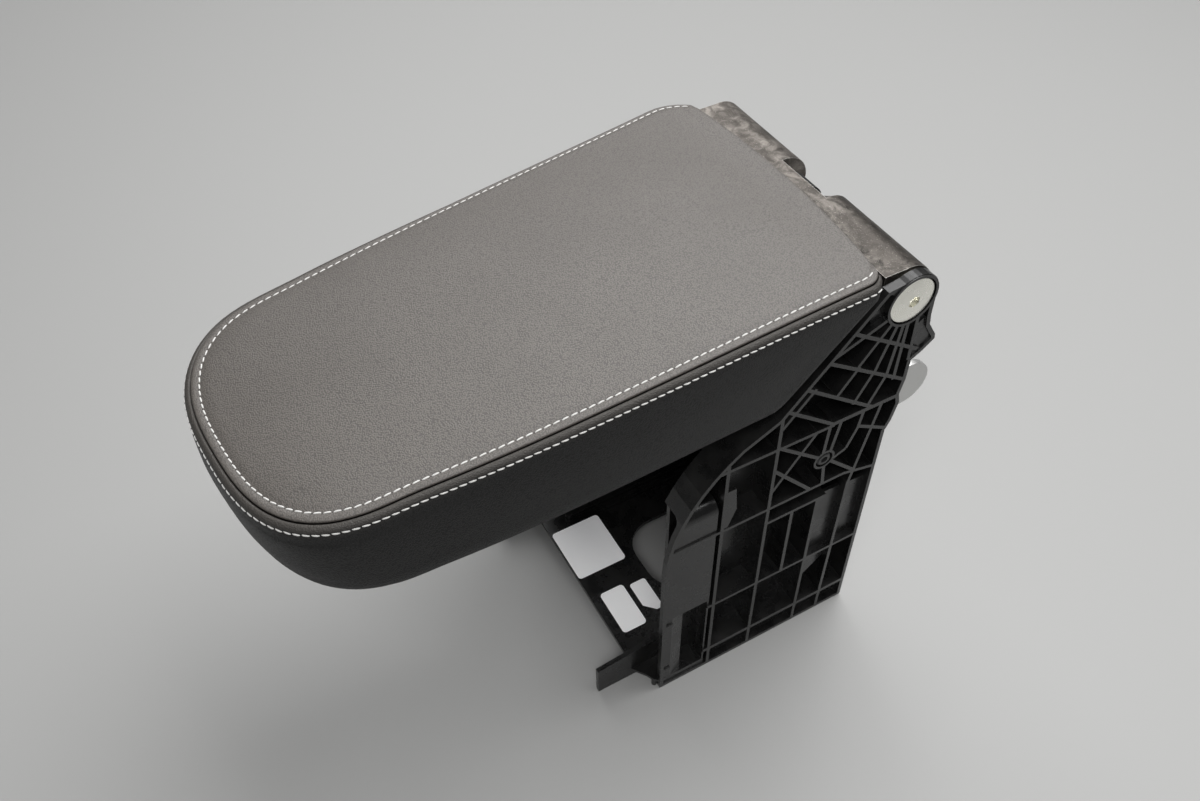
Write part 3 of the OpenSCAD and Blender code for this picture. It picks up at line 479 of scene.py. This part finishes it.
def loft(levels, make, closed=True):
    """bmesh whose rows are extruded one from the next; make(level) gives a row's points."""
    bm = bmesh.new()
    row = [bm.verts.new(p) for p in make(levels[0])]
    pairs = list(zip(row, row[1:] + row[:1] if closed else row[1:]))
    edges = [bm.edges.new(pair) for pair in pairs]
    for level in levels[1:]:
        grown = bmesh.ops.extrude_edge_only(bm, edges=edges)["geom"]
        fresh = {v for v in grown if isinstance(v, bmesh.types.BMVert)}
        row = [grown_from(v, fresh) for v in row]
        edges = [bm.edges.get(pair) for pair in zip(row, row[1:] + row[:1] if closed else row[1:])]
        for v, p in zip(row, make(level)):
            v.co = p
    return bm, row


def shrunk(points, scale):
    """The outline drawn in towards the pad's middle."""
    return [(p.x * scale, MIDDLE + (p.y - MIDDLE) * scale) for p in points]


def top_level(level):
    kind, a, b = level
    if kind == "edge":
        return [place(p.x, p.y, upper(p.y) + b) for p in outline(a)]
    return [place(x, y, upper(y) + b + crown(x, y)) for x, y in shrunk(outline(0.0), a)]


# ("edge", out, rise) follows the seam; ("crown", scale, rise) fills the middle.
TOP_LEVELS = [
    ("edge", 1.2, -3.2), ("edge", 2.4, -2.7), ("edge", 3.0, -2.1), ("edge", 3.3, -1.6),
    ("edge", 3.4, -1.15), ("edge", 3.3, -0.78), ("edge", 2.95, -0.48), ("edge", 2.3, -0.3),
    ("edge", 1.5, -0.25), ("edge", 0.8, -0.38), ("edge", 0.25, -0.48), ("edge", -0.25, -0.42),
    ("edge", -0.9, -0.1), ("edge", -1.7, 0.2), ("edge", -2.9, 0.55), ("edge", -4.6, 0.85)] + [
    ("crown", k, 0.8) for k in (0.92, 0.89, 0.86, 0.82, 0.78, 0.73, 0.68, 0.62, 0.56, 0.5,
                                0.43, 0.36, 0.29, 0.22, 0.15, 0.08)]


def finish_mesh(bm, name, material):
    """Turn the bmesh into a smooth object that moves with the armrest."""
    bmesh.ops.recalc_face_normals(bm, faces=bm.faces[:])
    mesh = bpy.data.meshes.new(name)
    bm.to_mesh(mesh)
    bm.free()
    mesh.materials.append(material)
    mesh.polygons.foreach_set("use_smooth", [True] * len(mesh.polygons))
    obj = bpy.data.objects.new(name, mesh)
    scene.collection.objects.link(obj)
    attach(obj, "armrest")
    return obj

# %% [markdown]
# ## Letting the foam swell
# A padded panel is never a plain loft: the foam presses the leather out wherever no seam
# holds it. A slightly smaller, closed copy of the pad is remeshed to even cells and held
# along the seam, the underside and the rear, and Blender's cloth blows it up a little.
# How far each point moved, with a cap, is handed to the finished leather further down, so
# the stitched edges keep the sharpness that the remesh would have lost.

# %% Simulate the padding
VOXEL, PRESSURE, FRAMES, SWELL_CAP, NEIGHBOURS = 0.005, 4.0, 20, 0.0022, 8
SLANT_Y, SLANT_Z, SLANT = -59.5, -35.0, 0.862


def rear_end(t, s):
    """How far back the pad reaches at one height: its rear slants forwards towards the bottom."""
    base = t * UPPER_AT + (1 - t) * UNDER_AT + s
    rise = t * UPPER_RISE + (1 - t) * UNDER_RISE
    return min(REAR, (SLANT_Y + (base - SLANT_Z) * SLANT) / (1 - rise * SLANT))


def form_level(level):
    kind, a, b, flare = level
    if kind == "band":
        return [place(p.x, p.y, a * upper(p.y) + (1 - a) * under(p.y))
                for p in band_outline(b, flare, rear_end(a, 0))]
    return [place(x, y, upper(y) + b + crown(x, y))
            for x, y in shrunk(band_outline(-1.0, 0.0, REAR), a)]


# ("band", share of the height, out, flare) makes the side; ("crown", scale, rise, 0) the top.
FORM_LEVELS = [
    ("band", 0.01, -6.0, 5.0), ("band", 0.06, 0.0, 5.0), ("band", 0.15, 2.0, 4.5),
    ("band", 0.35, 3.6, 3.5), ("band", 0.6, 4.4, 2.0), ("band", 0.85, 4.6, 0.6),
    ("band", 0.97, 2.6, 0.0)] + [
    ("crown", k, -0.8, 0) for k in (0.95, 0.8, 0.6, 0.4, 0.2)]


def held(co):
    """True where the tray, the seam or the rear strip keeps the leather from moving."""
    x, y, z = abs(co.x / MM), co.y / MM - HINGE_Y, co.z / MM - HINGE_Z
    if z < under(y) + 7.0 or y > rear_end(1, z - upper(y)) - 5.0:
        return True
    if y > FRONT:
        inside = half_width(y, 0.0, 0.0) - x
    else:
        wide = half_width(FRONT, 0.0, 0.0)
        inside = (1 - ((x / wide) ** 2.2 + ((FRONT - y) / NOSE) ** 2.2) ** 0.4545) * NOSE
    return inside < 5.0 and z > upper(y) - 9.0


def evaluated_mesh(obj):
    state = bpy.context.evaluated_depsgraph_get()
    return bpy.data.meshes.new_from_object(obj.evaluated_get(state))


def simulate_swell():
    """Blow up a closed copy of the pad; give back its points in a tree, and their moves."""
    bm, last = loft(FORM_LEVELS, form_level)
    bmesh.ops.contextual_create(bm, geom=last)
    bmesh.ops.holes_fill(bm, edges=bm.edges[:], sides=0)
    bmesh.ops.recalc_face_normals(bm, faces=bm.faces[:])
    mesh = bpy.data.meshes.new("form")
    bm.to_mesh(mesh)
    bm.free()
    form = bpy.data.objects.new("form", mesh)
    scene.collection.objects.link(form)
    cells = form.modifiers.new("even cells", "REMESH")
    cells.mode = "VOXEL"
    cells.voxel_size = VOXEL
    even = evaluated_mesh(form)
    form.modifiers.clear()
    form.data = even
    rest = [v.co.copy() for v in even.vertices]
    pins = form.vertex_groups.new(name="held")
    pins.add([i for i, co in enumerate(rest) if held(co)], 1.0, "REPLACE")
    cloth = form.modifiers.new("padding", "CLOTH")
    cloth.settings.use_pressure = True
    cloth.settings.uniform_pressure_force = PRESSURE
    cloth.settings.effector_weights.gravity = 0.0
    cloth.settings.vertex_group_mass = "held"
    cloth.collision_settings.use_collision = False
    cloth.point_cache.frame_start = 1
    cloth.point_cache.frame_end = FRAMES
    for step in range(1, FRAMES + 1):
        scene.frame_set(step)
    blown = evaluated_mesh(form)
    moves = [v.co - co for v, co in zip(blown.vertices, rest)]
    scene.frame_set(1)
    bpy.data.objects.remove(form)
    for spare in (mesh, even, blown):
        bpy.data.meshes.remove(spare)
    tree = KDTree(len(rest))
    for i, co in enumerate(rest):
        tree.insert(co, i)
    tree.balance()
    capped = [m * min(1.0, SWELL_CAP / max(m.length, 1e-9)) for m in moves]
    print("swell:", len(rest), "points, largest", round(max(m.length for m in moves) / MM, 2),
          "mm before the cap")
    return tree, capped


swell = simulate_swell()


def let_swell(bm):
    """Move a finished piece's points as the simulated form's nearest points moved."""
    if swell is None:
        return
    tree, moves = swell
    for v in bm.verts:
        near = tree.find_n(v.co, NEIGHBOURS)
        weights = [1.0 / (distance + 0.002) for _, _, distance in near]
        total = sum((moves[i] * w for (_, i, _), w in zip(near, weights)), Vector())
        v.co += total / sum(weights)

# %% [markdown]
# ## Leather
# The top panel and the side band are one dark leather in two copies: the top is a warm grey with a
# soft sheen, painted light from above, and the side band is painted nearly black, painted shade
# where it turns from the light.
# Both share the grain, which is mostly relief with little colour. Next to the seam the band is
# painted lighter, a painted highlight where its roll tilts up to the light: an attribute on its
# points says how much.

# %% Leather materials
def leather(name, dark, light, crease, bump, sheen, seam_highlight=None):
    material, tree, shader, vector = new_material(name)
    grain = use_group(tree, leather_grain, vector)
    tone = ramp(tree, grain.outputs["Tone"], [(0.3, 0.0), (0.7, 1.0)])
    base = mix_colours(tree, tone.outputs["Color"], dark, light, "slow tone")
    creased = mix_colours(tree, grain.outputs["Crease"], base, crease, "creases")
    # painted highlight: a lighter colour where the attribute marks the roll below the seam
    if seam_highlight:
        zone = add_node(tree, "ShaderNodeAttribute", "painted highlight zone", attribute_name="seam_highlight")
        creased = mix_colours(tree, zone.outputs["Fac"], creased, seam_highlight, "painted highlight near the seam")
    tree.links.new(creased, shader.inputs["Base Color"])
    gloss = ramp(tree, grain.outputs["Crease"], [(0.0, 0.47), (1.0, 0.59)])
    tree.links.new(gloss.outputs["Color"], shader.inputs["Roughness"])
    shader.inputs["Specular IOR Level"].default_value = sheen
    relief = add_node(tree, "ShaderNodeBump", "grain", Strength=bump, Distance=0.0002)
    tree.links.new(grain.outputs["Height"], relief.inputs["Height"])
    tree.links.new(relief.outputs["Normal"], shader.inputs["Normal"])
    return material


# painted light and shade: the top copy is painted lighter and the side copy near black
lit_leather_top = leather("leather top painted light", (0.108, 0.096, 0.085), (0.124, 0.111, 0.099),
                      (0.068, 0.061, 0.055), bump=0.5, sheen=0.8)
shaded_leather_side = leather("leather side painted shade", (0.007, 0.0068, 0.0066), (0.010, 0.0098, 0.0095),
                       (0.004, 0.004, 0.004), bump=0.7, sheen=0.45,
                       seam_highlight=(0.072, 0.065, 0.058))

# %% Make the top panel
bm, last = loft(TOP_LEVELS, top_level)
bmesh.ops.contextual_create(bm, geom=last)
let_swell(bm)
pad_top = finish_mesh(bm, "pad_top", lit_leather_top)
smooth = pad_top.modifiers.new("soft surface", "SUBSURF")
smooth.levels = smooth.render_levels = 1
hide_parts("cover_top", "pad_foam")
print("pad top:", len(pad_top.data.polygons), "faces")

# %% [markdown]
# ## The side band
# One long strip of leather runs round the sides and nose. Its upper edge is folded into a
# roll below the seam and stitched, its face bellies slightly, and its lower edge is turned
# in under the pad, where the cover of the underside meets it. Each level says its share of
# the height, a rise in millimetres, and how far it is moved out, flared and skewed.

# %% Build the side band
def thicken(obj):
    thick = obj.modifiers.new("leather thickness", "SOLIDIFY")
    thick.thickness = LEATHER_THICK
    thick.offset = -1.0


def band_level(level):
    t, s, out, flare, skew = level
    return [place(p.x, p.y, t * upper(p.y) + (1 - t) * under(p.y) + s)
            for p in band_outline(out, flare, rear_end(t, s), skew)]


LEATHER_THICK = 0.0012
FADE_DEPTH = 5.5
BAND_LEVELS = [
    (1, -3.2, 2.4, 0, 0.09), (1, -2.3, 3.45, 0, 0.09), (1, -1.65, 3.8, 0, 0.09),
    (1, -1.35, 4.15, 0, 0.09), (1, -1.4, 4.7, 0, 0.09), (1, -1.8, 5.4, 0, 0.09),
    (1, -2.35, 5.95, 0, 0.09), (1, -2.95, 6.3, 0, 0.09), (1, -3.45, 6.4, 0, 0.09),
    (1, -3.8, 6.32, 0, 0.09), (1, -4.15, 6.34, 0, 0.09), (1, -4.7, 6.5, 0.2, 0.09),
    (1, -6.0, 6.65, 0.5, 0.09), (1, -9.0, 6.5, 1.4, 0.1), (0.75, 0, 6.2, 2.6, 0.1),
    (0.62, 0, 5.9, 4.0, 0.11), (0.5, 0, 5.5, 5.3, 0.12), (0.38, 0, 5.1, 6.5, 0.13),
    (0.27, 0, 4.7, 7.5, 0.14), (0, 10, 4.3, 8.3, 0.15), (0, 7.2, 3.8, 8.9, 0.15),
    (0, 4.8, 3.0, 9.4, 0.15), (0, 2.9, 1.8, 9.4, 0.14), (0, 1.4, 0.0, 8.8, 0.12),
    (0, 0.45, -2.2, 7.4, 0.1), (0, 0, -4.8, 5.4, 0.06), (0, 0, -7.5, 3.2, 0.02),
    (0, 0, -9.5, 2.0, 0.0), (0, 1.2, -9.6, 2.0, 0.0)]

bm, last = loft(BAND_LEVELS, band_level, closed=False)
# painted highlight: the band lightens within FADE_DEPTH of the seam, where it tilts up to the
# light
seam_highlight = bm.verts.layers.float.new("seam_highlight")
for v in bm.verts:
    depth = HINGE_Z + upper(v.co.y / MM - HINGE_Y) - v.co.z / MM
    v[seam_highlight] = max(0.0, 1.0 - depth / FADE_DEPTH)
let_swell(bm)
pad_side = finish_mesh(bm, "pad_side", shaded_leather_side)
thicken(pad_side)
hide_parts("cover_side")
print("side band:", len(pad_side.data.polygons), "faces")

# %% [markdown]
# ## The rear strip
# Behind, the leather comes down over the rear edge and follows the slant that clears the
# bracket, with a hem at its lower edge.

# %% Build the rear strip
STRIP_ROWS = [(-41.8, -11.8), (-40.6, -12.4), (-39.9, -11.2), (-37.8, -9.0), (-33.0, -3.9),
              (-28.0, 1.9), (-23.5, 7.1), (-20.4, 10.5), (-19.5, 12.3), (-19.3, 14.2),
              (-19.3, 17.0), (-20.4, 17.5)]
STRIP_TURN, STRIP_STEPS = 84, 32


def strip_row(row):
    """A row of the strip, from (y, z), with both ends tucked a little forwards."""
    y, z = row
    w = half_width(min(y, REAR), 2.2, 0.8) - 1.2
    widest = math.sin(math.radians(STRIP_TURN))
    angles = [-STRIP_TURN + 2 * STRIP_TURN * i / STRIP_STEPS for i in range(STRIP_STEPS + 1)]
    return [place(w * math.sin(math.radians(a)) / widest,
                  y - 11.0 * max(0.0, abs(a) / STRIP_TURN - 0.9), z) for a in angles]


bm, last = loft(STRIP_ROWS, strip_row, closed=False)
pad_rear = finish_mesh(bm, "pad_rear", shaded_leather_side)
thicken(pad_rear)
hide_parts("cover_rear")
print("rear strip:", len(pad_rear.data.polygons), "faces")

# %% [markdown]
# ## Stitching
# Thick pale thread runs in two rows, one on each side of the seam. Each stitch is a short
# plump bead that dives into the leather at both ends and lies slightly askew, as a
# lockstitch does. One stitch is modelled, then copied along each row at its real pitch.

# %% Model one stitch
PITCH, STITCH, THREAD, HOLE = 3.6, 3.2, 0.36, 0.42


def stitch_bmesh():
    """One bead of thread and, at its end, a dark blob of painted shade for the needle hole that it
    dives into.
    """
    bm = bmesh.new()
    bmesh.ops.create_uvsphere(bm, u_segments=8, v_segments=8, radius=1.0,
                              matrix=Matrix.Rotation(math.pi / 2, 4, "Y"))
    for v in bm.verts:
        along = v.co.x
        v.co.x = math.copysign(abs(along) ** 0.75, along) * STITCH / 2
        v.co.y *= THREAD
        v.co.z = v.co.z * THREAD * 0.9 - 0.30 * abs(along) ** 3
    thread_faces = len(bm.faces)
    # painted shade: a dark blob where the thread dives into its needle hole
    hole = Matrix.Translation((PITCH / 2, 0, -0.22)) @ Matrix.Diagonal((0.9, 1, 0.7, 1))
    bmesh.ops.create_icosphere(bm, subdivisions=1, radius=HOLE, matrix=hole)
    bm.faces.ensure_lookup_table()
    for face in bm.faces[thread_faces:]:
        face.material_index = 1
    return bm


def walk(points, pitch):
    """Places and directions every pitch along a line of 3-D points."""
    length = sum((b - a).length for a, b in zip(points, points[1:]))
    count = max(1, round(length / (pitch * MM)))
    step, reach, out = length / count, length / count / 2, []
    for a, b in zip(points, points[1:]):
        span = (b - a).length
        while reach <= span:
            out.append((a.lerp(b, reach / span), (b - a).normalized()))
            reach += step
        reach -= span
    return out


def stitch_row(name, line, outward, askew):
    """Copy the stitch along a line; outward(place) says which way the leather faces there."""
    stitch = stitch_bmesh()
    shape = bpy.data.meshes.new("stitch")
    stitch.to_mesh(shape)
    stitch.free()
    spots = walk(line, PITCH)
    tilt = Matrix.Rotation(math.radians(askew), 4, "Z") @ Matrix.Scale(MM, 4)
    bm = bmesh.new()
    for where, along in spots:
        side = outward(where).cross(along).normalized()
        turn = Matrix((along, side, along.cross(side))).transposed().to_4x4()
        mark = len(bm.verts)
        bm.from_mesh(shape)
        bm.verts.ensure_lookup_table()
        move = Matrix.Translation(where) @ turn @ tilt
        bmesh.ops.transform(bm, matrix=move, verts=bm.verts[mark:])
    row = finish_mesh(bm, name, thread_white)
    # the dark second material paints the shade in the needle holes
    row.data.materials.append(stop_rubber)
    bpy.data.meshes.remove(shape)
    print(name, "has", len(spots), "stitches")


def thread():
    material, tree, shader, vector = new_material("thread")
    twist = add_node(tree, "ShaderNodeTexWave", "ply", Scale=1500.0, Distortion=3.0, Detail=2.0)
    tree.links.new(vector, twist.inputs["Vector"])
    tone = mix_colours(tree, twist.outputs["Fac"], (0.60, 0.592, 0.575), (0.84, 0.832, 0.81))
    tree.links.new(tone, shader.inputs["Base Color"])
    shader.inputs["Roughness"].default_value = 0.6
    relief = add_node(tree, "ShaderNodeBump", Strength=0.5, Distance=0.0001)
    tree.links.new(twist.outputs["Fac"], relief.inputs["Height"])
    tree.links.new(relief.outputs["Normal"], shader.inputs["Normal"])
    return material


thread_white = thread()

# %% Lay the two rows
TURN_AT = -153.0 * MM


def row_line(out, rise):
    """The stitched line from the rear right corner round the nose to the rear left one."""
    return [place(p.x, p.y, upper(p.y) + rise) for p in band_outline(out, 0.0, REAR)][2:-2]


def outward_top(where):
    return Vector((0.0, 0.0, 1.0))


def outward_side(where):
    """Out from the side and a little upwards, turning with the nose in front of TURN_AT."""
    flat = Vector((where.x, min(0.0, where.y - TURN_AT), 0.0)).normalized()
    return (flat + Vector((0.0, 0.0, 0.25))).normalized()


stitch_row("stitches_top", row_line(0.0, -0.42), outward_top, 6.0)
stitch_row("stitches_side", row_line(6.6, -3.9), outward_side, -6.0)

# %% [markdown]
# ## Floor and light
# The part stands on a pale grey table. A wide soft light hangs above and behind it and casts
# the broad shadow under the pad. A weaker one from the left gives the leather its sheen, and
# one near the camera reaches into the bracket.

# %% Floor
FLOOR_DROP = -0.0004


def floor():
    bm = bmesh.new()
    bmesh.ops.create_grid(bm, x_segments=1, y_segments=1, size=6.0)
    mesh = bpy.data.meshes.new("floor")
    bm.to_mesh(mesh)
    bm.free()
    obj = bpy.data.objects.new("floor", mesh)
    obj.location.z = FLOOR_DROP
    scene.collection.objects.link(obj)
    material, tree, shader, vector = new_material("table")
    cloud = add_node(tree, "ShaderNodeTexNoise", "faint tone", Scale=1.2, Detail=1.0)
    tree.links.new(vector, cloud.inputs["Vector"])
    tone = mix_colours(tree, cloud.outputs["Fac"], (0.36, 0.36, 0.355), (0.38, 0.38, 0.375))
    tree.links.new(tone, shader.inputs["Base Color"])
    shader.inputs["Roughness"].default_value = 0.55
    mesh.materials.append(material)


floor()

# %% Lamps and world
def soft_lamp(name, place_at, aim, size, power):
    data = bpy.data.lights.new(name, "AREA")
    data.shape = "RECTANGLE"
    data.size, data.size_y = size
    data.energy = power
    lamp = bpy.data.objects.new(name, data)
    lamp.location = place_at
    lamp.rotation_euler = (Vector(aim) - Vector(place_at)).to_track_quat("-Z", "Y").to_euler()
    scene.collection.objects.link(lamp)


soft_lamp("top light", (-0.12, 0.62, 1.5), (0, -0.05, 0.1), (1.4, 1.2), 28.0)
soft_lamp("sheen light", (-1.25, 0.15, 1.35), (0, -0.1, 0.2), (0.9, 0.9), 9.0)
soft_lamp("front light", (0.95, -0.75, 1.75), (0, -0.05, 0.05), (0.8, 0.8), 17.0)

world = bpy.data.worlds.new("world")
scene.world = world
world.use_nodes = True
world.node_tree.nodes["Background"].inputs["Color"].default_value = (1.0, 1.0, 1.0, 1.0)
world.node_tree.nodes["Background"].inputs["Strength"].default_value = 0.12
scene.view_settings.view_transform = "Standard"
